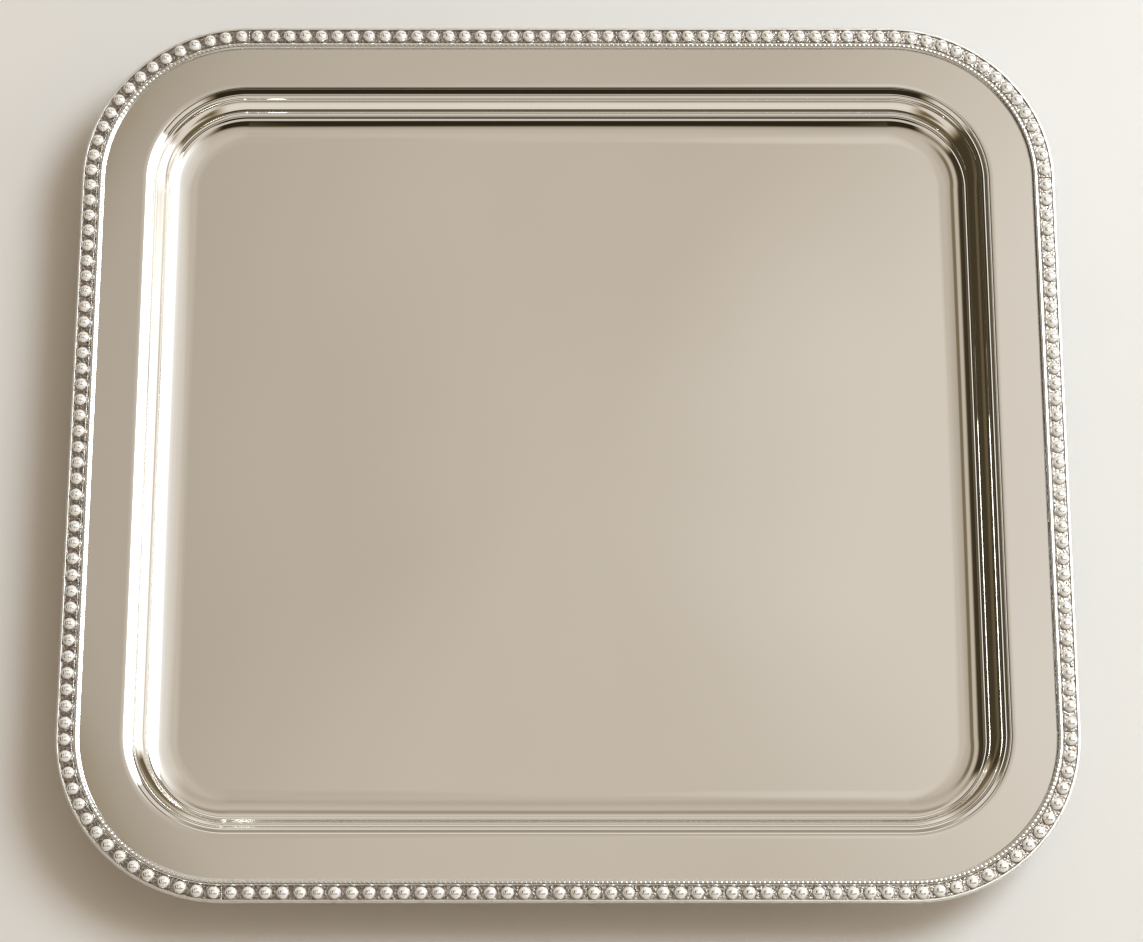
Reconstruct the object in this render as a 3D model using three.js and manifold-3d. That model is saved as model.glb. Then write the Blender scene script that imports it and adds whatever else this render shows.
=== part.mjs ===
// A rectangular silver salver with rounded corners: a pressed tray plate with a moulded wall, an applied
// beaded border in eight struck lengths between an inner milled wire and an outer edge wire, and four low
// bun feet, each on a soldered patch and a felt pad.
//
// Millimetres, +Z up. The origin is on the table, under the middle of the salver. +X is to the right and
// +Y to the back. Every outline is parallel to the bead line, the closed line through the beads' centres.
import * as THREE from "three";
import { mergeVertices } from "three/addons/utils/BufferGeometryUtils.js";
import Module from "manifold-3d";

const wasm = await Module();
wasm.setup();

// ---- Driving dimensions -------------------------------------------------------------------------------

// The bead line: equal pitches along the sides and round the corners set the salver's size.
const BEAD_PITCH = 5.07;
const BEADS_ALONG_X = 40;
const BEADS_ALONG_Y = 35;
const BEADS_ROUND_CORNER = 15;

// Heights above the table.
const PAD_THICKNESS = 0.8;
const FOOT_HEIGHT = 7.6;
const PATCH_THICKNESS = 0.6;
const SHEET = 0.9;
const SOLDER = 0.05; // the film between two soldered or glued faces

// Offsets from the bead line, positive outwards.
const PLATE_EDGE = 1.95;
const EDGE_WIRE_OUTSIDE = 2.75;
const BORDER_GROUND_INSIDE = -2.1;
const MILLED_WIRE_INSIDE = -4.27;
const WALL_START = -16.1;

// Applied border, heights above the brim.
const GROUND_THICKNESS = 0.4;
const BEAD_RADIUS = 1.83;
const BEAD_STILT = 0.15; // the upright foot under each dome
const BEAD_RISE = 1.6;
const WIRE_RISE = 0.95;
const MILLED_WIRE_SIDE = 0.2; // the height at which each wire's round back springs
const EDGE_WIRE_SIDE = 0.4;
const EDGE_WIRE_DROP = 1.25;

// The wall's moulding from the brim down to the floor. An arc bends the slope to `to` degrees at `radius`,
// and a line runs on for `length` at the slope it finds.
const WALL_MOULDING = [
  { to: 4, radius: 13 }, // soft turn off the brim
  { to: 30, radius: 2.2 }, // shoulder
  { to: 21, radius: 0.9 }, // slight quirk under the shoulder
  { length: 0.9 },
  { to: 70, radius: 3.4 }, // head of the ogee
  { length: 0.45 },
  { to: 65, radius: 20 }, // steep middle, very slightly hollow and then full
  { to: 70, radius: 20 },
  { length: 0.45 },
  { to: 18, radius: 3.1 }, // foot of the ogee
  { length: 0.5 },
  { to: 16, radius: 5 },
  { to: 0, radius: 28 }, // long fillet into the floor
];

// Feet. Heights are shares of the foot's height.
const FOOT_SOLE_RADIUS = 4.8;
const FOOT_RADIUS = 7;
const FOOT_SHOULDER_RADIUS = 6.6;
const FOOT_WAIST_RADIUS = 4.1;
const FOOT_TOP_RADIUS = 6;
const FOOT_WIDEST_AT = 0.34;
const FOOT_SHOULDER_AT = 0.55;
const FOOT_WAIST_AT = 0.76;
const FOOT_FLANGE_AT = 0.93;
const PATCH_RADIUS = 10;
const PAD_RADIUS = 4.2;

// Facets.
const CORNER_FACETS = 12;
const DEGREES_PER_STEP = 16;
const CHORD_SAG = 0.05; // the most a chord may leave its arc, where that asks for more steps
const WIRE_FACETS = 4;
const BEAD_FACETS = 6;
const FOOT_FACETS = 14;
const DISC_FACETS = 16;

// ---- Derived dimensions -------------------------------------------------------------------------------

const CORNER_RADIUS = (BEADS_ROUND_CORNER * BEAD_PITCH) / (Math.PI / 2);
const CORNER_X = (BEADS_ALONG_X * BEAD_PITCH) / 2;
const CORNER_Y = (BEADS_ALONG_Y * BEAD_PITCH) / 2;

const FOOT_BOTTOM = PAD_THICKNESS + SOLDER;
const PATCH_BOTTOM = FOOT_BOTTOM + FOOT_HEIGHT + SOLDER;
const PLATE_BOTTOM = PATCH_BOTTOM + PATCH_THICKNESS + SOLDER;
const FLOOR_TOP = PLATE_BOTTOM + SHEET;

// ---- Section of the plate -----------------------------------------------------------------------------

// The moulding as points of {run inwards, drop, slope}, from the brim at {0, 0}.
function mouldingPoints() {
  const points = [{ run: 0, drop: 0, slope: 0 }];
  const last = () => points[points.length - 1];
  for (const { to, radius, length } of WALL_MOULDING) {
    const from = last();
    if (length) {
      points.push({
        run: from.run + length * Math.cos(from.slope),
        drop: from.drop + length * Math.sin(from.slope),
        slope: from.slope,
      });
      continue;
    }
    const end = THREE.MathUtils.degToRad(to);
    const widest = THREE.MathUtils.degToRad(DEGREES_PER_STEP);
    const flattest = 2 * Math.acos(1 - CHORD_SAG / radius);
    const steps = Math.ceil(Math.abs(end - from.slope) / Math.min(widest, flattest));
    const sign = Math.sign(end - from.slope); // 1 where the slope grows: the arc's centre is below
    for (let i = 1; i <= steps; i++) {
      const slope = from.slope + ((end - from.slope) * i) / steps;
      points.push({
        run: from.run + sign * radius * (Math.sin(slope) - Math.sin(from.slope)),
        drop: from.drop + sign * radius * (Math.cos(from.slope) - Math.cos(slope)),
        slope,
      });
    }
  }
  return points;
}

// The same line one sheet thickness lower. Where a nosing is sharper than the sheet is thick, its points
// would run backwards, and they are dropped.
function undersidePoints(points) {
  const kept = [];
  for (const { run, drop, slope } of points) {
    const under = { run: run - SHEET * Math.sin(slope), drop: drop + SHEET * Math.cos(slope) };
    const before = kept[kept.length - 1];
    if (!before || (under.run > before.run && under.drop > before.drop - 1e-9)) kept.push(under);
  }
  return kept;
}

const moulding = mouldingPoints();
const BRIM_TOP = FLOOR_TOP + moulding[moulding.length - 1].drop;

// ---- Sweeping a section round the bead line -------------------------------------------------------------

// The corners' centres, anticlockwise from the back right, each with the angle at which its arc starts.
const CORNERS = {
  back_right: { x: CORNER_X, y: CORNER_Y, from: 0 },
  back_left: { x: -CORNER_X, y: CORNER_Y, from: Math.PI / 2 },
  front_left: { x: -CORNER_X, y: -CORNER_Y, from: Math.PI },
  front_right: { x: CORNER_X, y: -CORNER_Y, from: (3 * Math.PI) / 2 },
};

// The stations of a corner: a centre, and a direction outwards from it.
function cornerStations({ x, y, from }) {
  return Array.from({ length: CORNER_FACETS + 1 }, (_, i) => {
    const angle = from + ((Math.PI / 2) * i) / CORNER_FACETS;
    return { x, y, out: new THREE.Vector2(Math.cos(angle), Math.sin(angle)) };
  });
}

const ALL_STATIONS = Object.values(CORNERS).flatMap(cornerStations);

function placed(station, offset, z) {
  const reach = CORNER_RADIUS + offset;
  return [station.x + station.out.x * reach, station.y + station.out.y * reach, z];
}

function geometryOf(positions, faces) {
  const geometry = new THREE.BufferGeometry();
  geometry.setAttribute("position", new THREE.Float32BufferAttribute(positions.flat(), 3));
  geometry.setIndex(faces.flat());
  return geometry;
}

// Joins the section's points at each station to the same points at the next. The section is a list of
// [offset, z], anticlockwise with the offset to the right, and convex where its ends are capped.
function sweep(section, stations, closed) {
  const positions = stations.flatMap((s) => section.map(([offset, z]) => placed(s, offset, z)));
  const faces = [];
  const n = section.length;
  const spans = closed ? stations.length : stations.length - 1;
  for (let i = 0; i < spans; i++) {
    const here = i * n;
    const next = ((i + 1) % stations.length) * n;
    for (let j = 0; j < n; j++) {
      const k = (j + 1) % n;
      faces.push([here + j, next + j, next + k], [here + j, next + k, here + k]);
    }
  }
  const end = (stations.length - 1) * n;
  for (let j = 1; !closed && j < n - 1; j++) {
    faces.push([0, j, j + 1], [end, end + j + 1, end + j]);
  }
  return geometryOf(positions, faces);
}

// Like a closed sweep, for a section whose ends both stop at the floor: a fan closes each of them.
function sweepPlate(section) {
  const positions = ALL_STATIONS.flatMap((s) => section.map(([offset, z]) => placed(s, offset, z)));
  const n = section.length;
  const bottomMiddle = positions.push([0, 0, section[0][1]]) - 1;
  const topMiddle = positions.push([0, 0, section[n - 1][1]]) - 1;
  const faces = [];
  ALL_STATIONS.forEach((_, i) => {
    const here = i * n;
    const next = ((i + 1) % ALL_STATIONS.length) * n;
    for (let j = 0; j < n - 1; j++) {
      faces.push([here + j, next + j, next + j + 1], [here + j, next + j + 1, here + j + 1]);
    }
    faces.push([bottomMiddle, next, here], [topMiddle, here + n - 1, next + n - 1]);
  });
  return geometryOf(positions, faces);
}

// ---- Pieces ---------------------------------------------------------------------------------------------

// Floor, wall and brim, pressed from one sheet.
function trayPlate() {
  const top = moulding.map(({ run, drop }) => [WALL_START - run, BRIM_TOP - drop]);
  const under = undersidePoints(moulding).map(({ run, drop }) => [WALL_START - run, BRIM_TOP - drop]);
  const section = [
    ...under.reverse(),
    [PLATE_EDGE, BRIM_TOP - SHEET],
    [PLATE_EDGE, BRIM_TOP],
    ...top,
  ];
  return sweepPlate(section);
}

// A wire with a flat seat and a half-round back, between two offsets.
function halfRound(inside, outside, bottom, springing, top) {
  const middle = (inside + outside) / 2;
  const half = (outside - inside) / 2;
  const back = Array.from({ length: WIRE_FACETS + 1 }, (_, i) => {
    const angle = (Math.PI * i) / WIRE_FACETS;
    return [middle + half * Math.cos(angle), springing + (top - springing) * Math.sin(angle)];
  });
  return [[inside, bottom], [outside, bottom], ...back];
}

function milledWire() {
  const seat = BRIM_TOP + SOLDER;
  const side = seat + MILLED_WIRE_SIDE;
  const outside = BORDER_GROUND_INSIDE - SOLDER;
  const section = halfRound(MILLED_WIRE_INSIDE, outside, seat, side, BRIM_TOP + WIRE_RISE);
  return sweep(section, ALL_STATIONS, true);
}

function edgeWire() {
  const inside = PLATE_EDGE + SOLDER;
  const bottom = BRIM_TOP - EDGE_WIRE_DROP;
  const side = BRIM_TOP + EDGE_WIRE_SIDE;
  const section = halfRound(inside, EDGE_WIRE_OUTSIDE, bottom, side, BRIM_TOP + WIRE_RISE);
  return sweep(section, ALL_STATIONS, true);
}

function solidOf(geometry) {
  const bare = geometry.clone();
  bare.deleteAttribute("normal");
  bare.deleteAttribute("uv");
  const merged = mergeVertices(bare, 1e-4);
  const index = merged.index.array;
  const triVerts = [];
  for (let i = 0; i < index.length; i += 3) {
    const [a, b, c] = [index[i], index[i + 1], index[i + 2]];
    if (a !== b && b !== c && c !== a) triVerts.push(a, b, c);
  }
  return new wasm.Manifold(
    new wasm.Mesh({
      numProp: 3,
      vertProperties: merged.attributes.position.array,
      triVerts: new Uint32Array(triVerts),
    }),
  );
}

function geometryFrom(solid) {
  const { vertProperties, triVerts } = solid.getMesh();
  const geometry = new THREE.BufferGeometry();
  geometry.setAttribute("position", new THREE.BufferAttribute(vertProperties, 3));
  geometry.setIndex(new THREE.BufferAttribute(triVerts, 1));
  return geometry;
}

// One dome, its rim on the ground's top and its foot sunk into the ground.
function beadGeometry() {
  const profile = [
    [0, -GROUND_THICKNESS / 2],
    [BEAD_RADIUS, -GROUND_THICKNESS / 2],
    [BEAD_RADIUS, BEAD_STILT],
    [BEAD_RADIUS * Math.cos(Math.PI / 4), BEAD_RISE * Math.sin(Math.PI / 4)],
    [0, BEAD_RISE],
  ];
  const points = profile.map(([x, y]) => new THREE.Vector2(x, y));
  return new THREE.LatheGeometry(points, BEAD_FACETS).rotateX(Math.PI / 2);
}

// A struck length of border: flat ground with domed beads along it, each turned to face along the length.
function beadLength(stations, beads) {
  const bottom = BRIM_TOP + SOLDER;
  const top = bottom + GROUND_THICKNESS;
  const section = [
    [BORDER_GROUND_INSIDE, bottom],
    [PLATE_EDGE, bottom],
    [PLATE_EDGE, top],
    [BORDER_GROUND_INSIDE, top],
  ];
  const dome = beadGeometry();
  const solid = beads.reduce((made, { x, y, turn }) => {
    const bead = dome.clone().rotateZ(turn).translate(x, y, top);
    return made.add(solidOf(bead));
  }, solidOf(sweep(section, stations, false)));
  return geometryFrom(solid);
}

function cornerLength(corner) {
  const beads = Array.from({ length: BEADS_ROUND_CORNER }, (_, i) => {
    const turn = corner.from + ((Math.PI / 2) * (i + 0.5)) / BEADS_ROUND_CORNER;
    return {
      x: corner.x + CORNER_RADIUS * Math.cos(turn),
      y: corner.y + CORNER_RADIUS * Math.sin(turn),
      turn,
    };
  });
  return beadLength(withEndGaps(cornerStations(corner)), beads);
}

// The side that starts where one corner's arc ends and stops where the next corner's arc begins.
function sideLength(before, after, count) {
  const turn = after.from;
  const out = new THREE.Vector2(Math.cos(turn), Math.sin(turn));
  const start = { x: before.x, y: before.y, out };
  const end = { x: after.x, y: after.y, out };
  const beads = Array.from({ length: count }, (_, i) => {
    const share = (i + 0.5) / count;
    return {
      x: THREE.MathUtils.lerp(start.x, end.x, share) + CORNER_RADIUS * out.x,
      y: THREE.MathUtils.lerp(start.y, end.y, share) + CORNER_RADIUS * out.y,
      turn,
    };
  });
  return beadLength(withEndGaps([start, end]), beads);
}

// Draws both ends of a length in by half a solder film, so that neighbouring lengths don't overlap.
function withEndGaps(stations) {
  const along = ({ out }) => new THREE.Vector2(-out.y, out.x).multiplyScalar(SOLDER / 2);
  const moved = (station, sign) => ({
    ...station,
    x: station.x + sign * along(station).x,
    y: station.y + sign * along(station).y,
  });
  return [moved(stations[0], 1), ...stations.slice(1, -1), moved(stations[stations.length - 1], -1)];
}

// A turned bun foot: a round bun, a waist, and a flange that is soldered to the patch.
function footGeometry() {
  const profile = [
    [0, 0],
    [FOOT_SOLE_RADIUS, 0],
    [FOOT_RADIUS, FOOT_WIDEST_AT * FOOT_HEIGHT],
    [FOOT_SHOULDER_RADIUS, FOOT_SHOULDER_AT * FOOT_HEIGHT],
    [FOOT_WAIST_RADIUS, FOOT_WAIST_AT * FOOT_HEIGHT],
    [FOOT_TOP_RADIUS, FOOT_FLANGE_AT * FOOT_HEIGHT],
    [FOOT_TOP_RADIUS, FOOT_HEIGHT],
    [0, FOOT_HEIGHT],
  ];
  const points = profile.map(([x, y]) => new THREE.Vector2(x, y));
  return new THREE.LatheGeometry(points, FOOT_FACETS).rotateX(Math.PI / 2);
}

function disc(radius, thickness) {
  const cylinder = new THREE.CylinderGeometry(radius, radius, thickness, DISC_FACETS);
  return cylinder.rotateX(Math.PI / 2).translate(0, 0, thickness / 2);
}

// ---- Assembly -------------------------------------------------------------------------------------------

const silver = new THREE.MeshStandardMaterial({ color: 0xd8d2c6, roughness: 0.08, metalness: 1 });
const strikingSilver = new THREE.MeshStandardMaterial({ color: 0xcfc8bb, roughness: 0.25, metalness: 1 });
const castSilver = new THREE.MeshStandardMaterial({ color: 0xd0cabf, roughness: 0.2, metalness: 1 });
const felt = new THREE.MeshStandardMaterial({ color: 0x2f3a34, roughness: 1, metalness: 0 });

const salver = new THREE.Group();

function add(name, geometry, material, position = [0, 0, 0]) {
  const mesh = new THREE.Mesh(geometry, material);
  mesh.name = name;
  mesh.position.set(...position);
  salver.add(mesh);
}

add("tray_plate", trayPlate(), silver);
add("milled_wire", milledWire(), strikingSilver);
add("edge_wire", edgeWire(), silver);

const { back_right, back_left, front_left, front_right } = CORNERS;
add("bead_border_back", sideLength(back_right, back_left, BEADS_ALONG_X), strikingSilver);
add("bead_border_left", sideLength(back_left, front_left, BEADS_ALONG_Y), strikingSilver);
add("bead_border_front", sideLength(front_left, front_right, BEADS_ALONG_X), strikingSilver);
add("bead_border_right", sideLength(front_right, back_right, BEADS_ALONG_Y), strikingSilver);

for (const [place, corner] of Object.entries(CORNERS)) {
  add(`bead_corner_${place}`, cornerLength(corner), strikingSilver);
  add(`foot_patch_${place}`, disc(PATCH_RADIUS, PATCH_THICKNESS), silver, [corner.x, corner.y, PATCH_BOTTOM]);
  add(`foot_${place}`, footGeometry(), castSilver, [corner.x, corner.y, FOOT_BOTTOM]);
  add(`foot_pad_${place}`, disc(PAD_RADIUS, PAD_THICKNESS), felt, [corner.x, corner.y, 0]);
}

export default salver;
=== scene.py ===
"""The looks of a beaded silver salver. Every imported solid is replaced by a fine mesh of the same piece: the
pressed plate and both wires are swept round the salver's outline, the border is struck in eight lengths of
beads on a pitted ground, and the feet are turned. The stage is a pale table under a studio's soft light.

Metres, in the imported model's frame: +X to the right, +Y to the back, +Z up, the origin on the table."""

import math

import bpy
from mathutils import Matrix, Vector, noise


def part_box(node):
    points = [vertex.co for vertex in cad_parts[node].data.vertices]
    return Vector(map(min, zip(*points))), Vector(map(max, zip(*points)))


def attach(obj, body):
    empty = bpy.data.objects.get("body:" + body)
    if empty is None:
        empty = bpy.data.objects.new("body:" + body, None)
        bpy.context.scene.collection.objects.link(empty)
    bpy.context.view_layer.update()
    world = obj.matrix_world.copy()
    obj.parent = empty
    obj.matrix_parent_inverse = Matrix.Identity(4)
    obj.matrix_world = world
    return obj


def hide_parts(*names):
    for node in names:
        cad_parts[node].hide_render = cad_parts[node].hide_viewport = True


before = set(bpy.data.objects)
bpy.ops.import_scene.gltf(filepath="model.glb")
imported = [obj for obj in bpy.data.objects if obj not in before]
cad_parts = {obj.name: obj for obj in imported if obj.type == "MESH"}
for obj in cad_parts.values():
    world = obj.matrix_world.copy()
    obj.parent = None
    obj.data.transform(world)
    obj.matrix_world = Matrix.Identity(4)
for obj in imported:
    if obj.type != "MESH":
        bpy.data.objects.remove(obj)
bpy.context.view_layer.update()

MM = 0.001

# ---- Sizes read from the frame ---------------------------------------------------------------------------

_, PLATE_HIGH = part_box("tray_plate")
FOOT_LOW, FOOT_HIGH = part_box("foot_back_right")
PATCH_LOW, PATCH_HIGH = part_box("foot_patch_back_right")
PAD_LOW, PAD_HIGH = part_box("foot_pad_back_right")
WIRE_LOW, WIRE_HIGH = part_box("edge_wire")
MILLED_LOW, MILLED_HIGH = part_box("milled_wire")
GROUND_LOW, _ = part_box("bead_border_right")

CORNER_X = (FOOT_LOW.x + FOOT_HIGH.x) / 2
CORNER_Y = (FOOT_LOW.y + FOOT_HIGH.y) / 2
BRIM_TOP = PLATE_HIGH.z

# ---- The design's own sizes ------------------------------------------------------------------------------

# Offsets are measured outwards from the bead line, the closed line through the beads' centres.
SHEET = 0.9 * MM
PLATE_EDGE = 1.95 * MM
WALL_START = -16.1 * MM
BEAD_LINE_RADIUS = PLATE_HIGH.x - PLATE_EDGE - CORNER_X
BEADS_ALONG_X = 40
BEADS_ALONG_Y = 35
BEADS_ROUND_CORNER = 15
BEAD_RADIUS = 1.9 * MM
BEAD_CROWN_SLOPE = 38  # degrees at the rim, were the crown carried on to it
BEAD_EDGE_SLOPE = 70  # degrees: how steeply the dome meets its foot
BEAD_SPRING = 0.18  # the height at which the dome springs from the ground, as a share of the bead's radius
BEAD_FOOT = 0.28  # how far the upright foot reaches down from there, as a share of the same
BEAD_UNEVENNESS = 0.06 * MM  # how far a bead may sit off its pitch
BEAD_SIZE_SPREAD = 0.04  # how much a bead may differ in size, as a share
GROUND_TOP = BRIM_TOP + 0.45 * MM
GROUND_INSIDE = -2.1 * MM
PIT_DEPTH = 0.12 * MM
MILLED_INSIDE = -4.27 * MM
MILLED_LIP = 0.3 * MM
MILLED_LIP_RISE = 0.2 * MM
GRAIN_PITCH = 1.4 * MM
GRAIN_DEPTH = 0.075 * MM
SOLDER = 0.05 * MM  # the film between two soldered faces

# The wall's moulding from the brim down to the floor, in millimetres. An arc bends the slope to `to` degrees
# at `radius`, and a line runs on for `length` at the slope it finds.
WALL_MOULDING = [
    {"to": 4, "radius": 13},  # soft turn off the brim
    {"to": 30, "radius": 2.2},  # shoulder
    {"to": 21, "radius": 0.9},  # slight quirk under the shoulder
    {"length": 0.9},
    {"to": 70, "radius": 3.4},  # head of the ogee
    {"length": 0.45},
    {"to": 65, "radius": 20},  # steep middle, very slightly hollow and then full
    {"to": 70, "radius": 20},
    {"length": 0.45},
    {"to": 18, "radius": 3.1},  # foot of the ogee
    {"length": 0.5},
    {"to": 16, "radius": 5},
    {"to": 0, "radius": 28},  # long fillet into the floor
]

# Half-sections of the feet, as (radius, height above the foot's sole), in millimetres.
FOOT_HEIGHT = 7.6
FOOT_BUN = [(0, 0), (4.4, 0), (4.9, 0.1), (5.9, 0.9), (6.7, 1.9), (7.0, 2.9), (6.9, 3.7), (6.3, 4.6)]
FOOT_NECK = [(5.3, 5.3), (4.5, 5.7), (4.1, 6.1), (4.3, 6.5)]
FOOT_FLANGE = [(5.2, 6.9), (5.9, 7.1), (6.0, 7.3), (6.0, FOOT_HEIGHT), (0, FOOT_HEIGHT)]

# The corners' centres, anticlockwise from the back right, each with the angle at which its arc starts.
CORNERS = {
    "back_right": (CORNER_X, CORNER_Y, 0),
    "back_left": (-CORNER_X, CORNER_Y, math.pi / 2),
    "front_left": (-CORNER_X, -CORNER_Y, math.pi),
    "front_right": (CORNER_X, -CORNER_Y, 3 * math.pi / 2),
}

# Facets.
CORNER_FACETS = 72
DEGREES_PER_STEP = 2.5  # of slope, along the moulding
GROUND_STEP = 0.3 * MM
GROUND_STEPS_ACROSS = 16
GRAIN_STEPS = 8
MILLED_STEPS_OVER = 11
BEAD_SEGMENTS = 28
BEAD_RINGS = 12
FOOT_SEGMENTS = 48
PATCH_SEGMENTS = 64
PAD_SEGMENTS = 40


# ---- Meshes ----------------------------------------------------------------------------------------------


def add_piece(name, node, vertices, faces, materials, normals=None, face_material=None):
    """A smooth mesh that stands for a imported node. face_material gives each face's place in materials."""
    mesh = bpy.data.meshes.new(name)
    mesh.from_pydata(vertices, [], faces)
    for material in materials:
        mesh.materials.append(material)
    mesh.shade_smooth()
    if face_material is not None:
        mesh.polygons.foreach_set("material_index", face_material)
    if normals is not None:
        mesh.normals_split_custom_set_from_vertices(normals)
    mesh.update()
    piece = bpy.data.objects.new(name, mesh)
    bpy.context.scene.collection.objects.link(piece)
    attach(piece, "root")
    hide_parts(node)


def arc(centre, radius, start, end, steps):
    """Points of {offset, z} with their normals, round a centre, from start to end degrees."""
    points = []
    for i in range(steps + 1):
        angle = math.radians(start + (end - start) * i / steps)
        normal = (math.cos(angle), math.sin(angle))
        points.append((centre[0] + radius * normal[0], centre[1] + radius * normal[1], *normal))
    return points


def corner_stations(corner, facets):
    """Stations round a corner. Each is the corner's centre and a direction outwards from it."""
    x, y, start = corner
    angles = [start + math.pi / 2 * i / facets for i in range(facets + 1)]
    return [(x, y, math.cos(a), math.sin(a)) for a in angles]


def side_stations(before, after, steps):
    """Along the straight that starts at one corner's end and stops at the next corner's start."""
    out = (math.cos(after[2]), math.sin(after[2]))
    stations = []
    for i in range(steps + 1):
        share = i / steps
        x = before[0] + (after[0] - before[0]) * share
        y = before[1] + (after[1] - before[1]) * share
        stations.append((x, y, *out))
    return stations


def all_round(facets):
    return [station for corner in CORNERS.values() for station in corner_stations(corner, facets)]


def placed(station, offset, z):
    reach = BEAD_LINE_RADIUS + offset
    return (station[0] + station[2] * reach, station[1] + station[3] * reach, z)


def swept_vertices(section, stations):
    """A section of {offset, z} points with their normals, set up at every station."""
    vertices = [placed(s, point[0], point[1]) for s in stations for point in section]
    normals = [(s[2] * point[2], s[3] * point[2], point[3]) for s in stations for point in section]
    return vertices, normals


def swept_faces(count, length, closed):
    """Quads between neighbouring stations. The section runs anticlockwise, offsets to the right."""
    faces = []
    for i in range(length if closed else length - 1):
        here = i * count
        there = (i + 1) % length * count
        for j in range(count):
            k = (j + 1) % count
            faces.append((here + j, there + j, there + k, here + k))
    return faces


def moulding_points():
    """The moulding as points of {run inwards, drop, slope in radians}, from the brim."""
    points = [(0.0, 0.0, 0.0)]
    for part in WALL_MOULDING:
        run, drop, slope = points[-1]
        if "length" in part:
            length = part["length"] * MM
            points.append((run + length * math.cos(slope), drop + length * math.sin(slope), slope))
            continue
        radius = part["radius"] * MM
        end = math.radians(part["to"])
        steps = math.ceil(abs(end - slope) / math.radians(DEGREES_PER_STEP))
        sign = math.copysign(1, end - slope)
        for i in range(1, steps + 1):
            bent = slope + (end - slope) * i / steps
            across = sign * radius * (math.sin(bent) - math.sin(slope))
            down = sign * radius * (math.cos(slope) - math.cos(bent))
            points.append((run + across, drop + down, bent))
    return points


def lathe(profile, centre, segments):
    """Turns a profile of (radius, z) points, from the axis at the bottom to the axis at the top."""
    x, y = centre
    vertices = [(x, y, profile[0][1])]
    for radius, z in profile[1:-1]:
        for i in range(segments):
            angle = 2 * math.pi * i / segments
            vertices.append((x + radius * math.cos(angle), y + radius * math.sin(angle), z))
    vertices.append((x, y, profile[-1][1]))
    faces = [(0, 1 + (i + 1) % segments, 1 + i) for i in range(segments)]
    rings = len(profile) - 2
    for ring in range(rings - 1):
        low = 1 + ring * segments
        high = low + segments
        for i in range(segments):
            k = (i + 1) % segments
            faces.append((low + i, low + k, high + k, high + i))
    last = 1 + (rings - 1) * segments
    faces += [(last + i, last + (i + 1) % segments, len(vertices) - 1) for i in range(segments)]
    return vertices, faces


# ---- Materials -------------------------------------------------------------------------------------------


class Nodes:
    """A material's node tree, with short ways to add to it."""

    def __init__(self, name):
        self.material = bpy.data.materials.new(name)
        self.material.use_nodes = True
        self.tree = self.material.node_tree
        self.shader = self.tree.nodes["Principled BSDF"]
        self.place = self.add("ShaderNodeTexCoord").outputs["Object"]

    def add(self, kind, **settings):
        node = self.tree.nodes.new(kind)
        for key, value in settings.items():
            setattr(node, key, value)
        return node

    def link(self, source, target):
        self.tree.links.new(source, target)

    def noise(self, scale, detail, roughness=0.55):
        node = self.add("ShaderNodeTexNoise")
        node.inputs["Scale"].default_value = scale
        node.inputs["Detail"].default_value = detail
        node.inputs["Roughness"].default_value = roughness
        self.link(self.place, node.inputs["Vector"])
        return node.outputs["Fac"]

    def between(self, value, start, end):
        """Runs from start to end, each a pair of the value there and the result there."""
        node = self.add("ShaderNodeMapRange")
        node.inputs["From Min"].default_value = start[0]
        node.inputs["From Max"].default_value = end[0]
        node.inputs["To Min"].default_value = start[1]
        node.inputs["To Max"].default_value = end[1]
        self.link(value, node.inputs["Value"])
        return node.outputs["Result"]

    def combined(self, operation, first, second):
        node = self.add("ShaderNodeMath", operation=operation)
        self.link(first, node.inputs[0])
        self.link(second, node.inputs[1])
        return node.outputs[0]

    def spread(self, value, low, high):
        """Maps a noise's middle range to low..high."""
        return self.between(value, (0.3, low), (0.7, high))

    def mix(self, factor, first, second):
        node = self.add("ShaderNodeMix", data_type="RGBA")
        node.inputs["A"].default_value = (*first, 1)
        node.inputs["B"].default_value = (*second, 1)
        self.link(factor, node.inputs["Factor"])
        return node.outputs["Result"]

    def bump(self, height, distance):
        node = self.add("ShaderNodeBump")
        node.inputs["Distance"].default_value = distance
        node.inputs["Strength"].default_value = 1.0
        self.link(height, node.inputs["Height"])
        return node.outputs["Normal"]

    def set(self, **sockets):
        for name, value in sockets.items():
            socket = self.shader.inputs[name.replace("_", " ").title().replace("Ior", "IOR")]
            if isinstance(value, bpy.types.NodeSocket):
                self.link(value, socket)
            else:
                socket.default_value = value


def polished_silver():
    nodes = Nodes("polished_silver")
    cloudy = nodes.spread(nodes.noise(14, 3), 0, 1)
    nodes.set(
        metallic=1.0,
        base_color=nodes.mix(cloudy, (0.900, 0.868, 0.812), (0.915, 0.885, 0.832)),
        roughness=nodes.spread(nodes.noise(60, 5), 0.018, 0.032),
        normal=nodes.bump(nodes.noise(22, 1), 0.00004),
    )
    return nodes.material


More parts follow.
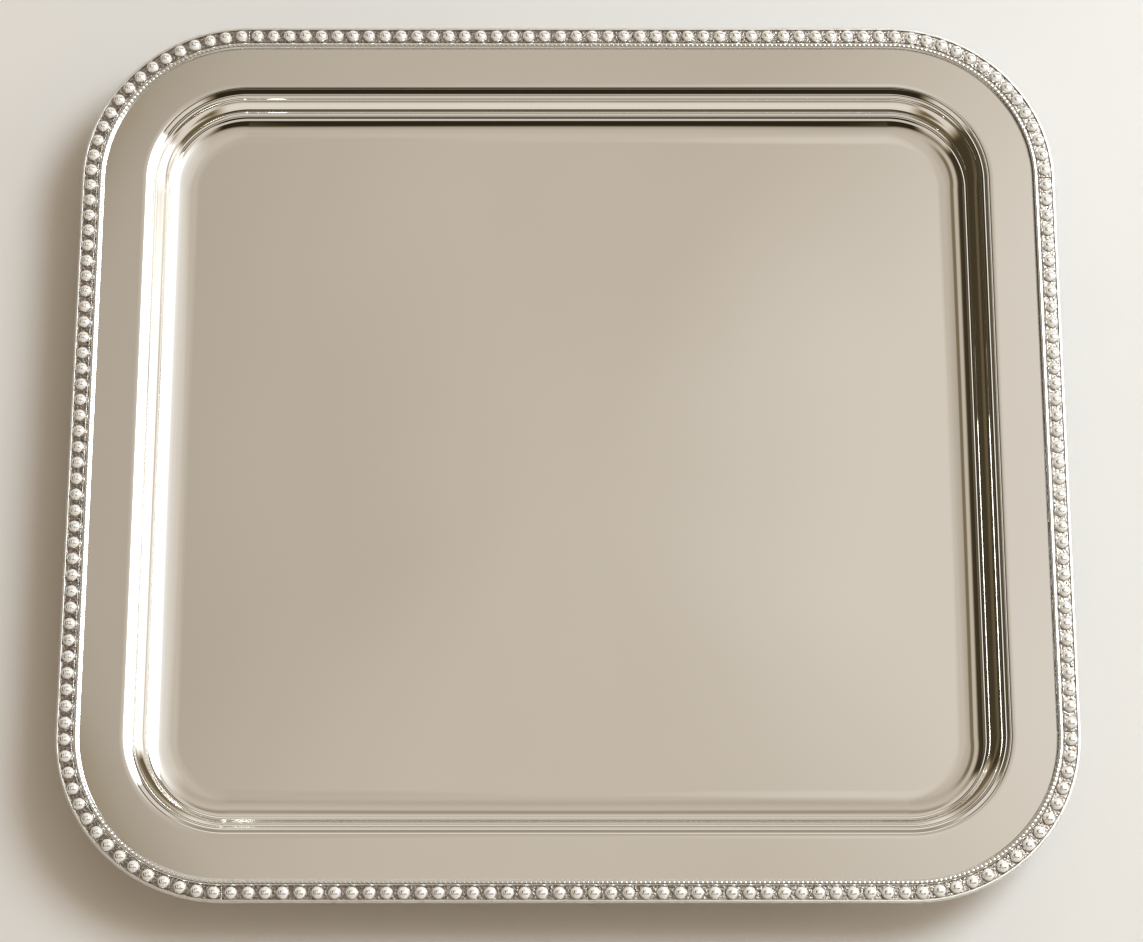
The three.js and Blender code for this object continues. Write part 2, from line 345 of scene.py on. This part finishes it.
def bead_silver():
    """Frosted, but for the steep foot and two burnished places, to the left and right of the crown."""
    nodes = Nodes("bead_silver")
    normal = nodes.add("ShaderNodeSeparateXYZ")
    nodes.link(nodes.add("ShaderNodeTexCoord").outputs["Normal"], normal.inputs[0])
    upright = normal.outputs["Z"]
    off_crown = nodes.between(upright, (0.993, 0), (0.985, 1))
    off_flank = nodes.between(upright, (0.875, 0), (0.90, 1))
    ring = nodes.combined("MINIMUM", off_crown, off_flank)
    sideways = nodes.add("ShaderNodeMath", operation="ABSOLUTE")
    nodes.link(normal.outputs["Y"], sideways.inputs[0])
    burnished = nodes.combined("MINIMUM", ring, nodes.between(sideways.outputs[0], (0.20, 1), (0.30, 0)))
    steep = nodes.between(upright, (0.50, 0.9), (0.62, 0.15))
    mottled = nodes.spread(nodes.noise(900, 2), 0, 1)
    nodes.set(
        metallic=nodes.combined("MAXIMUM", burnished, steep),
        base_color=nodes.mix(mottled, (0.94, 0.92, 0.87), (0.98, 0.96, 0.92)),
        roughness=nodes.between(burnished, (0, 0.32), (1, 0.05)),
        normal=nodes.bump(nodes.noise(700, 2), 0.000012),
    )
    return nodes.material


def wire_silver():
    nodes = Nodes("wire_silver")
    mottled = nodes.spread(nodes.noise(900, 2), 0, 1)
    nodes.set(
        metallic=1.0,
        base_color=nodes.mix(mottled, (0.88, 0.85, 0.80), (0.94, 0.92, 0.88)),
        roughness=nodes.spread(nodes.noise(500, 3), 0.10, 0.16),
        normal=nodes.bump(nodes.noise(700, 2), 0.00002),
    )
    return nodes.material


def ground_silver():
    nodes = Nodes("ground_silver")
    mottled = nodes.spread(nodes.noise(1600, 4), 0, 1)
    nodes.set(
        metallic=1.0,
        # The dark brown of this speckle is partly the oxide of the struck ground and partly painted shade:
        # the shade that falls in the hollows between and beside the beads.
        base_color=nodes.mix(mottled, (0.10, 0.08, 0.06), (0.60, 0.53, 0.47)),
        roughness=nodes.spread(nodes.noise(2200, 3), 0.16, 0.26),
        normal=nodes.bump(nodes.noise(2600, 3), 0.00012),
    )
    return nodes.material


def drawn_silver():
    nodes = Nodes("drawn_silver")
    mottled = nodes.spread(nodes.noise(400, 3), 0, 1)
    nodes.set(
        metallic=1.0,
        base_color=nodes.mix(mottled, (0.88, 0.84, 0.78), (0.94, 0.91, 0.86)),
        roughness=nodes.spread(nodes.noise(300, 3), 0.26, 0.34),
        normal=nodes.bump(nodes.noise(500, 2), 0.00002),
    )
    return nodes.material


def cast_silver():
    nodes = Nodes("cast_silver")
    mottled = nodes.spread(nodes.noise(160, 4), 0, 1)
    nodes.set(
        metallic=1.0,
        base_color=nodes.mix(mottled, (0.78, 0.74, 0.68), (0.86, 0.83, 0.77)),
        roughness=nodes.spread(nodes.noise(240, 4), 0.16, 0.30),
        normal=nodes.bump(nodes.noise(420, 3), 0.00005),
    )
    return nodes.material


def pad_felt():
    nodes = Nodes("pad_felt")
    fibres = nodes.noise(2400, 6, 0.7)
    nodes.set(
        base_color=nodes.mix(nodes.spread(fibres, 0, 1), (0.020, 0.040, 0.030), (0.055, 0.090, 0.070)),
        roughness=1.0,
        sheen_weight=0.4,
        normal=nodes.bump(fibres, 0.0003),
    )
    return nodes.material


# ---- Pieces ----------------------------------------------------------------------------------------------


def tray_plate(silver):
    moulding = moulding_points()
    section = []
    for run, drop, slope in reversed(moulding):
        under = run - SHEET * math.sin(slope)
        depth = drop + SHEET * math.cos(slope)
        section.append((WALL_START - under, BRIM_TOP - depth, math.sin(slope), -math.cos(slope)))
    turned = PLATE_EDGE - SHEET / 2
    section += arc((turned, BRIM_TOP - SHEET / 2), SHEET / 2, -90, 90, 8)
    for run, drop, slope in moulding:
        section.append((WALL_START - run, BRIM_TOP - drop, -math.sin(slope), math.cos(slope)))
    stations = all_round(CORNER_FACETS)
    count = len(section)
    vertices, normals = swept_vertices(section, stations)
    faces = [f for f in swept_faces(count, len(stations), True) if (f[0] + 1) % count]
    faces.append([i * count for i in reversed(range(len(stations)))])
    faces.append([i * count + count - 1 for i in range(len(stations))])
    add_piece("tray_plate_fine", "tray_plate", vertices, faces, [silver], normals)


def milled_wire(silver):
    """A round-backed wire on a thin plain lip. Notches cut its inner side and crest into a row of grains."""
    seat = MILLED_LOW.z
    step = seat + MILLED_LIP_RISE
    outside = GROUND_INSIDE - SOLDER
    inside = MILLED_INSIDE + MILLED_LIP
    middle = (inside + outside) / 2
    half = (outside - inside) / 2
    rise = MILLED_HIGH.z - step
    vertices = []
    stations = grain_stations()
    for station, share in stations:
        notch = GRAIN_DEPTH * (1 - abs(math.sin(math.pi * share))) ** 2
        vertices.append(placed(station, MILLED_INSIDE, seat))
        vertices.append(placed(station, outside, seat))
        for i in range(MILLED_STEPS_OVER + 1):
            angle = math.pi * i / MILLED_STEPS_OVER
            cut = notch * min(1, max(0, (math.degrees(angle) - 50) / 30)) * math.sin(angle) ** 0.5
            across = middle + (half - cut) * math.cos(angle)
            vertices.append(placed(station, across, step + (rise - cut) * math.sin(angle)))
        vertices.append(placed(station, MILLED_INSIDE + 0.05 * MM, step))
        vertices.append(placed(station, MILLED_INSIDE, step - 0.05 * MM))
    faces = swept_faces(MILLED_STEPS_OVER + 5, len(stations), True)
    add_piece("milled_wire_fine", "milled_wire", vertices, faces, [silver])


def grain_stations():
    """Stations all round, each with how many grains come before it on its straight or corner."""

    def shared(stretch):
        return [(station, i / GRAIN_STEPS) for i, station in enumerate(stretch[:-1])]

    stations = []
    names = list(CORNERS)
    for before, after in zip(names, names[1:] + names[:1]):
        start, end = CORNERS[before], CORNERS[after]
        count = round(math.hypot(end[0] - start[0], end[1] - start[1]) / GRAIN_PITCH)
        stations += shared(side_stations(start, end, GRAIN_STEPS * count))
        count = round((BEAD_LINE_RADIUS + MILLED_INSIDE) * math.pi / 2 / GRAIN_PITCH)
        stations += shared(corner_stations(end, GRAIN_STEPS * count))
    return stations


def edge_wire(silver):
    """A flat drawn wire round the plate's edge, its outer corners well rounded."""
    inside = PLATE_EDGE + SOLDER
    outside = WIRE_HIGH.x - CORNER_X - BEAD_LINE_RADIUS
    low, high = WIRE_LOW.z, WIRE_HIGH.z
    small = 0.12 * MM
    large = 0.3 * MM
    section = [
        *arc((inside + small, low + small), small, 180, 270, 4),
        *arc((outside - large, low + large), large, 270, 360, 6),
        *arc((outside - large, high - large), large, 0, 90, 8),
        *arc((inside + small, high - small), small, 90, 180, 4),
    ]
    stations = all_round(CORNER_FACETS)
    vertices, normals = swept_vertices(section, stations)
    faces = swept_faces(len(section), len(stations), True)
    add_piece("edge_wire_fine", "edge_wire", vertices, faces, [silver], normals)


def add_dome(vertices, faces, foot, radius):
    """A dome on a short upright foot. Its crown is nearly round and its flank turns down more steeply."""
    x, y, z = foot
    segments, rings = BEAD_SEGMENTS, BEAD_RINGS
    first = len(vertices)
    spring = z + BEAD_SPRING * radius
    profile = [(0.0, 0.0)]
    for ring in range(1, rings + 1):
        share = ring / rings
        before = dome_slope(share - 0.5 / rings)
        profile.append((share * radius, profile[-1][1] + math.tan(before) * radius / rings))
    rise = profile[-1][1]
    vertices.append((x, y, spring + rise))
    profile.append((radius, rise + BEAD_FOOT * radius))
    for reach, drop in profile[1:]:
        for i in range(segments):
            turn = 2 * math.pi * i / segments
            vertices.append((x + reach * math.cos(turn), y + reach * math.sin(turn), spring + rise - drop))
    faces += [(first, first + 1 + i, first + 1 + (i + 1) % segments) for i in range(segments)]
    for ring in range(rings):
        high = first + 1 + ring * segments
        low = high + segments
        for i in range(segments):
            k = (i + 1) % segments
            faces.append((high + i, low + i, low + k, high + k))
    foot_ring = first + 1 + rings * segments
    faces.append([foot_ring + i for i in reversed(range(segments))])


def dome_slope(share):
    """The slope at a share of the dome's radius, in radians."""
    steeper = BEAD_EDGE_SLOPE - BEAD_CROWN_SLOPE
    return math.radians(BEAD_CROWN_SLOPE * share + steeper * share**4)


def border_length(node, stations, beads, ground, silver):
    """A struck length: pitted ground, and beads along it."""
    low = GROUND_LOW.z
    across = GROUND_STEPS_ACROSS
    tops = [PLATE_EDGE + (GROUND_INSIDE - PLATE_EDGE) * i / across for i in range(across + 1)]
    section = [(GROUND_INSIDE, low, 0, -1), (PLATE_EDGE, low, 0, -1), *[(t, GROUND_TOP, 0, 1) for t in tops]]
    vertices, _ = swept_vertices(section, stations)
    count = len(section)
    for i, (x, y, z) in enumerate(vertices):
        if z > low + 0.1 * MM:
            pits = noise.noise(Vector((x, y, 0)) * 1900) + 0.6 * noise.noise(Vector((x, y, 1)) * 4100)
            vertices[i] = (x, y, z + PIT_DEPTH * pits)
    faces = swept_faces(count, len(stations), False)
    faces.append(list(range(count)))
    faces.append([(len(stations) - 1) * count + j for j in reversed(range(count))])
    ground_faces = len(faces)
    for x, y in beads:
        aside, along, swell = (noise.noise(Vector((x, y, layer)) * 700) for layer in range(3))
        place = (x + BEAD_UNEVENNESS * aside, y + BEAD_UNEVENNESS * along, GROUND_TOP)
        add_dome(vertices, faces, place, BEAD_RADIUS * (1 + BEAD_SIZE_SPREAD * swell))
    which = [0] * ground_faces + [1] * (len(faces) - ground_faces)
    materials = [ground, silver]
    add_piece(f"{node}_fine", node, vertices, faces, materials, face_material=which)


def border(ground, silver):
    """The eight struck lengths. Each is joined to the next halfway between two beads."""
    names = list(CORNERS)
    sides = {"back": BEADS_ALONG_X, "left": BEADS_ALONG_Y, "front": BEADS_ALONG_X, "right": BEADS_ALONG_Y}
    for (side, count), before, after in zip(sides.items(), names, names[1:] + names[:1]):
        start, end = CORNERS[before], CORNERS[after]
        length = math.hypot(end[0] - start[0], end[1] - start[1])
        stations = side_stations(start, end, round(length / GROUND_STEP))
        beads = [placed(s, 0, 0)[:2] for s in side_stations(start, end, 2 * count)[1::2]]
        border_length(f"bead_border_{side}", stations, beads, ground, silver)
    for name, corner in CORNERS.items():
        stations = corner_stations(corner, round(BEAD_LINE_RADIUS * math.pi / 2 / GROUND_STEP))
        beads = [placed(s, 0, 0)[:2] for s in corner_stations(corner, 2 * BEADS_ROUND_CORNER)[1::2]]
        border_length(f"bead_corner_{name}", stations, beads, ground, silver)


def feet(silver, cast, felt):
    """Four bun feet, each with its soldered patch above and its felt pad below."""
    height = FOOT_HIGH.z - FOOT_LOW.z
    section = FOOT_BUN + FOOT_NECK + FOOT_FLANGE
    foot = [(r * MM, FOOT_LOW.z + z / FOOT_HEIGHT * height) for r, z in section]
    low, high = PATCH_LOW.z, PATCH_HIGH.z
    patch = [(0, low), (9.4 * MM, low), (9.8 * MM, low + 0.1 * MM), (10 * MM, high), (0, high)]
    low, high = PAD_LOW.z, PAD_HIGH.z
    pad_side = [(4.0 * MM, low), (4.2 * MM, low + 0.2 * MM), (4.2 * MM, high - 0.1 * MM), (4.1 * MM, high)]
    pad = [(0, low), *pad_side, (0, high)]
    for name, (x, y, _) in CORNERS.items():
        vertices, faces = lathe(foot, (x, y), FOOT_SEGMENTS)
        add_piece(f"foot_{name}_fine", f"foot_{name}", vertices, faces, [cast])
        vertices, faces = lathe(patch, (x, y), PATCH_SEGMENTS)
        add_piece(f"foot_patch_{name}_fine", f"foot_patch_{name}", vertices, faces, [silver])
        vertices, faces = lathe(pad, (x, y), PAD_SEGMENTS)
        add_piece(f"foot_pad_{name}_fine", f"foot_pad_{name}", vertices, faces, [felt])


# ---- Stage -----------------------------------------------------------------------------------------------


def table():
    nodes = Nodes("table_white")
    mottled = nodes.spread(nodes.noise(6, 3), 0, 1)
    nodes.set(
        base_color=nodes.mix(mottled, (0.80, 0.79, 0.77), (0.82, 0.81, 0.79)),
        roughness=nodes.spread(nodes.noise(40, 3), 0.7, 0.8),
        specular_ior_level=0.1,
    )
    half = 3.0
    corners = [(-half, -half, 0), (half, -half, 0), (half, half, 0), (-half, half, 0)]
    mesh = bpy.data.meshes.new("table")
    mesh.from_pydata(corners, [], [(0, 1, 2, 3)])
    mesh.materials.append(nodes.material)
    top = bpy.data.objects.new("table", mesh)
    bpy.context.scene.collection.objects.link(top)


# The studio's glow by direction. MIDDLE_TILT is where the middle is, in degrees to the back of straight
# overhead: what the flat floor mirrors when it is looked at from in front. Each side gives {degrees away
# from the middle: brightness}. The bright and dark strips are lit panels and the gaps between them.
MIDDLE_TILT = 17
GLOW = {
    "right": {
        0: 0.54, 6: 0.655, 12: 0.74, 16: 0.87, 19: 1.4, 22: 2.4, 40: 2.4, 46: 2, 49: 2, 51: 0.05, 56: 0.05,
        58: 2, 72: 2, 79: 0.5, 84: 1.2, 90: 1.8, 96: 2.2,
    },
    "left": {
        0: 0.54, 5: 0.47, 9: 0.42, 11: 0.16, 13: 0.16, 15: 0.5, 17: 0.5, 20: 0.04, 26: 0.03, 28: 0.12,
        31: 0.12, 35: 0.03, 37: 1.4, 41: 1.4, 43: 0.04, 62: 0.04, 65: 0.12, 69: 0.05, 96: 0.05,
    },
    "back": {
        0: 0.54, 5: 0.51, 11: 0.44, 19: 0.52, 23: 0.3, 28: 0.6, 31: 0.6, 35: 0.3, 43: 0.65, 50: 1.0, 55: 0.7,
        60: 0.12, 64: 0.12, 69: 1.0, 80: 1.2,
    },
    "front": {
        0: 0.54, 6: 0.54, 13: 0.5, 17: 0.42, 20: 0.02, 26: 0.02, 28: 0.6, 30: 0.6, 32: 0.02, 49: 0.02,
        54: 0.6, 58: 0.6, 60: 0.02, 65: 0.02, 67: 0.62, 76: 0.62, 80: 0.25, 84: 0.8, 91: 0.85, 93: 0.05,
        99: 0.05, 101: 0.8, 107: 0.8, 111: 0.5,
    },
    "corner": {
        0: 0.54, 15: 0.5, 20: 0.45, 24: 0.6, 34: 0.7, 38: 0.08, 46: 0.05, 50: 0.6, 60: 0.15, 66: 0.1, 71: 0.8,
        80: 0.8, 86: 0.15, 97: 0.1, 103: 0.5, 110: 0.5,
    },
}
GLOW_REACH = 120  # degrees from the middle to the end of every profile

# Colours that multiply the glow: by how bright it is, and again where it lights a matt surface.
DARK_TINT = (1.25, 1.0, 0.6)
DIM_TINT = (1.125, 1.01, 0.865)
BRIGHT_TINT = (1.0, 1.0, 0.99)
DIFFUSE_TINT = (1.095, 0.965, 0.83)
BACKDROP = (0.80, 0.785, 0.76)  # what is seen past the table's edge


def studio():
    """Surroundings that depend on direction only."""
    world = bpy.data.worlds.new("studio")
    bpy.context.scene.world = world
    world.use_nodes = True
    tree = world.node_tree
    tree.nodes.clear()

    def add(kind, **settings):
        node = tree.nodes.new(kind)
        for key, value in settings.items():
            setattr(node, key, value)
        return node

    def fill(sockets, values):
        for socket, value in zip(sockets, values):
            if isinstance(value, bpy.types.NodeSocket):
                tree.links.new(value, socket)
            else:
                socket.default_value = value

    def math_node(operation, *values):
        node = add("ShaderNodeMath", operation=operation)
        fill(node.inputs, values)
        return node.outputs[0]

    def ramp(value, start, end):
        node = add("ShaderNodeMapRange", interpolation_type="SMOOTHSTEP")
        fill((node.inputs["Value"], node.inputs["From Min"], node.inputs["From Max"]), (value, start, end))
        return node.outputs["Result"]

    def mixed(factor, first, second):
        node = add("ShaderNodeMix", data_type="RGBA")
        colours = [(*value, 1) if isinstance(value, tuple) else value for value in (first, second)]
        fill((node.inputs["Factor"], node.inputs["A"], node.inputs["B"]), (factor, *colours))
        return node.outputs["Result"]

    def profile(stops):
        node = add("ShaderNodeValToRGB")
        node.color_ramp.interpolation = "EASE"
        elements = node.color_ramp.elements
        elements.remove(elements[1])
        for i, (degrees, glow) in enumerate(stops.items()):
            element = elements[0] if i == 0 else elements.new(degrees / GLOW_REACH)
            element.position = degrees / GLOW_REACH
            element.color = (glow, glow, glow, 1)
        tree.links.new(away, node.inputs["Fac"])
        return node.outputs["Color"]

    turned = add("ShaderNodeVectorRotate", rotation_type="X_AXIS")
    turned.inputs["Angle"].default_value = math.radians(MIDDLE_TILT)
    tree.links.new(add("ShaderNodeTexCoord").outputs["Generated"], turned.inputs["Vector"])
    direction = add("ShaderNodeSeparateXYZ")
    tree.links.new(turned.outputs[0], direction.inputs[0])
    x, y, z = direction.outputs
    away = math_node("DIVIDE", math_node("DEGREES", math_node("ARCCOSINE", z)), GLOW_REACH)

    # Right and left blend into back and front by azimuth. Past 15 to 26 degrees from the middle the corner's
    # profile takes over between them. It starts further round on the left, where x is negative.
    sideways = mixed(math_node("GREATER_THAN", x, 0.0), profile(GLOW["left"]), profile(GLOW["right"]))
    lengthways = mixed(math_node("GREATER_THAN", y, 0.0), profile(GLOW["front"]), profile(GLOW["back"]))
    turn = math_node("DEGREES", math_node("ARCTAN2", math_node("ABSOLUTE", y), math_node("ABSOLUTE", x)))
    glow = mixed(ramp(turn, 20.0, 70.0), sideways, lengthways)
    beside = mixed(math_node("GREATER_THAN", x, 0.0), ramp(turn, 24.0, 40.0), ramp(turn, 10.0, 24.0))
    diagonal = math_node("MULTIPLY", beside, ramp(turn, 78.0, 60.0))
    far_out = ramp(away, 15 / GLOW_REACH, 26 / GLOW_REACH)
    glow = mixed(math_node("MULTIPLY", diagonal, far_out), glow, profile(GLOW["corner"]))

    tint = mixed(ramp(glow, 0.1, 0.45), DARK_TINT, DIM_TINT)
    tint = mixed(ramp(glow, 0.4, 1.0), tint, BRIGHT_TINT)
    scaled = add("ShaderNodeVectorMath", operation="MULTIPLY")
    fill(scaled.inputs, (glow, tint))
    path = add("ShaderNodeLightPath")
    warmed = add("ShaderNodeVectorMath", operation="MULTIPLY")
    fill(warmed.inputs, (scaled.outputs[0], DIFFUSE_TINT))
    light = mixed(path.outputs["Is Diffuse Ray"], scaled.outputs[0], warmed.outputs[0])
    light = mixed(path.outputs["Is Camera Ray"], light, BACKDROP)
    background = add("ShaderNodeBackground")
    tree.links.new(light, background.inputs["Color"])
    output = add("ShaderNodeOutputWorld")
    tree.links.new(background.outputs[0], output.inputs["Surface"])


def softbox():
    """A round lamp to the right and behind. It is bright in the middle and fades away to its rim."""
    place = Vector((0.66, 0.37, 0.95))
    radius = 0.36
    sides = 48
    nodes = Nodes("softbox")
    away = nodes.add("ShaderNodeVectorMath", operation="LENGTH")
    nodes.link(nodes.place, away.inputs[0])
    fade = nodes.add("ShaderNodeMapRange", interpolation_type="SMOOTHSTEP")
    fade.inputs["From Min"].default_value = radius
    fade.inputs["From Max"].default_value = 0.6 * radius
    nodes.link(away.outputs["Value"], fade.inputs["Value"])
    clear = nodes.add("ShaderNodeBsdfTransparent")
    lamp = nodes.add("ShaderNodeEmission")
    lamp.inputs["Color"].default_value = (0.912, 1.0, 1.064, 1)
    lamp.inputs["Strength"].default_value = 12.4
    both = nodes.add("ShaderNodeMixShader")
    nodes.link(fade.outputs["Result"], both.inputs[0])
    nodes.link(clear.outputs[0], both.inputs[1])
    nodes.link(lamp.outputs[0], both.inputs[2])
    nodes.link(both.outputs[0], nodes.tree.nodes["Material Output"].inputs["Surface"])
    turns = [2 * math.pi * i / sides for i in range(sides)]
    rim = [(radius * math.cos(turn), radius * math.sin(turn), 0) for turn in turns]
    mesh = bpy.data.meshes.new("softbox")
    mesh.from_pydata(rim, [], [tuple(reversed(range(sides)))])
    mesh.materials.append(nodes.material)
    box = bpy.data.objects.new("softbox", mesh)
    box.location = place
    box.rotation_euler = place.to_track_quat("Z", "Y").to_euler()
    box.visible_camera = False
    bpy.context.scene.collection.objects.link(box)


def camera():
    """Looks down at the well from in front, as one stands over a table."""
    elevation = math.radians(72.9)
    distance = 0.977
    aim = Vector((1.07 * MM, -7.5 * MM, BRIM_TOP))
    data = bpy.data.cameras.new("camera")
    data.lens = 100.8
    data.sensor_width = 36
    eye = bpy.data.objects.new("camera", data)
    eye.location = aim + distance * Vector((0, -math.cos(elevation), math.sin(elevation)))
    eye.rotation_euler = (math.pi / 2 - elevation, 0, 0)
    bpy.context.scene.collection.objects.link(eye)
    bpy.context.scene.camera = eye


camera()
table()
studio()
softbox()
bpy.context.scene.view_settings.view_transform = "Standard"

bright = polished_silver()
struck = bead_silver()
cast = cast_silver()
tray_plate(bright)
milled_wire(wire_silver())
edge_wire(drawn_silver())
border(ground_silver(), struck)
feet(bright, cast, pad_felt())
